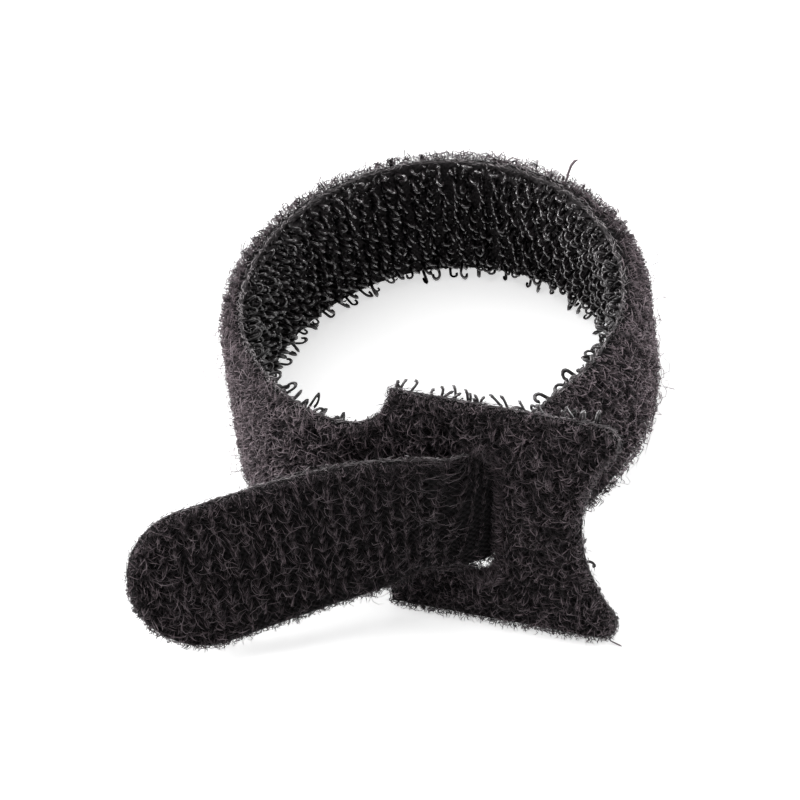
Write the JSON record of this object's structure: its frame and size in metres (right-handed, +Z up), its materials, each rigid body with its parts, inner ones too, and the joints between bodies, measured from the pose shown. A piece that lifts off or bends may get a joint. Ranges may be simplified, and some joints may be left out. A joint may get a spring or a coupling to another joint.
{
  "type": "cable tie",
  "caption": "Black fabric cable tie with a fishtail head, closed into a loop with its round tail drawn out through the head's slot.",
  "frame": {"origin": "on the ground under the middle of the whole tie", "axes": "+Z up, across the strap's width; +X to the right of the picture, the tail points to -X; +Y to the back, from the head to the far side of the loop"},
  "size_m": [0.0452, 0.0456, 0.0203],
  "materials": {
    "fabric": "matte"
  },
  "bodies": {
    "root": {"strap": "fabric"}
  },
  "joints": []
}
